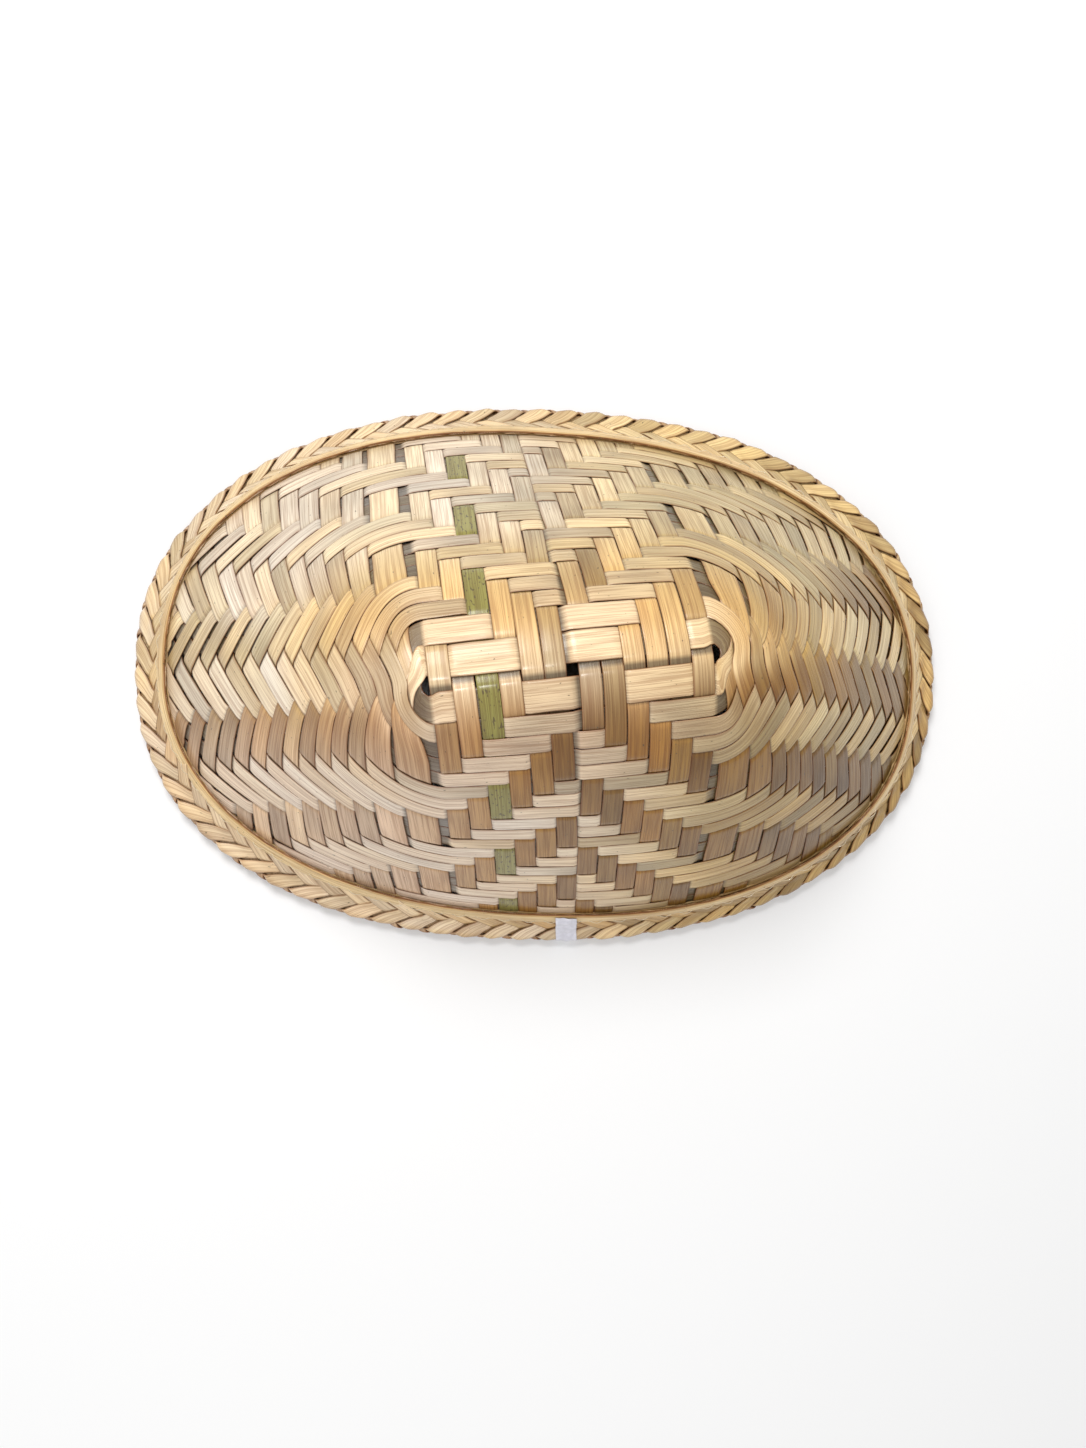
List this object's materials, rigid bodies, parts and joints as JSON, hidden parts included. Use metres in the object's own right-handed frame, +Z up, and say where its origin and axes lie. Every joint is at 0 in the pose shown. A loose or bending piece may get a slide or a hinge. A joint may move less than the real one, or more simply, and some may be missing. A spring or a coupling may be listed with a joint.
{
  "type": "woven basket",
  "caption": "Oval basket of twill-woven bamboo splints that narrows to a ridge, open at its mouth, with a braided rim folded over the mouth's edge.",
  "frame": {"origin": "centre of the mouth's plane, on the surface that the basket stands on mouth down", "axes": "+X along the long side of the mouth, +Y towards the back, +Z up to the ridge; the white tie on the rim is at the front, -Y"},
  "size_m": [0.2802, 0.186, 0.1],
  "materials": {
    "bamboo": "satin split bamboo with fine long fibres",
    "green_bamboo": "satin green bamboo skin with dark specks",
    "braided_bamboo": "satin plaited bamboo strands",
    "clear_thread": "clear glossy nylon",
    "white_tape": "semi-gloss white plastic film"
  },
  "bodies": {
    "root": {"ridge_splint_1": "bamboo", "ridge_splint_2": "bamboo", "ridge_splint_green": "green_bamboo", "ridge_splint_4": "bamboo", "ridge_splint_5": "bamboo", "ridge_splint_6": "bamboo", "ridge_splint_7": "bamboo", "ridge_splint_8": "bamboo", "ridge_splint_9": "bamboo", "ridge_splint_10": "bamboo", "ridge_splint_11": "bamboo", "ridge_splint_12": "bamboo", "front_splint_1": "bamboo", "front_splint_2": "bamboo", "front_splint_3": "bamboo", "front_splint_4": "bamboo", "front_splint_5": "bamboo", "front_splint_6": "bamboo", "front_splint_7": "bamboo", "front_splint_8": "bamboo", "front_splint_9": "bamboo", "front_splint_10": "bamboo", "front_splint_11": "bamboo", "front_splint_12": "bamboo", "front_splint_13": "bamboo", "front_splint_14": "bamboo", "front_splint_15": "bamboo", "front_splint_16": "bamboo", "front_splint_17": "bamboo", "front_splint_18": "bamboo", "front_splint_19": "bamboo", "back_splint_1": "bamboo", "back_splint_2": "bamboo", "back_splint_3": "bamboo", "back_splint_4": "bamboo", "back_splint_5": "bamboo", "back_splint_6": "bamboo", "back_splint_7": "bamboo", "back_splint_8": "bamboo", "back_splint_9": "bamboo", "back_splint_10": "bamboo", "back_splint_11": "bamboo", "back_splint_12": "bamboo", "back_splint_13": "bamboo", "back_splint_14": "bamboo", "back_splint_15": "bamboo", "back_splint_16": "bamboo", "back_splint_17": "bamboo", "back_splint_18": "bamboo", "back_splint_19": "bamboo", "back_splint_20": "bamboo", "rim_braid": "braided_bamboo", "rim_hoop": "bamboo", "rim_stitching": "clear_thread", "rim_tie": "white_tape"}
  },
  "joints": []
}
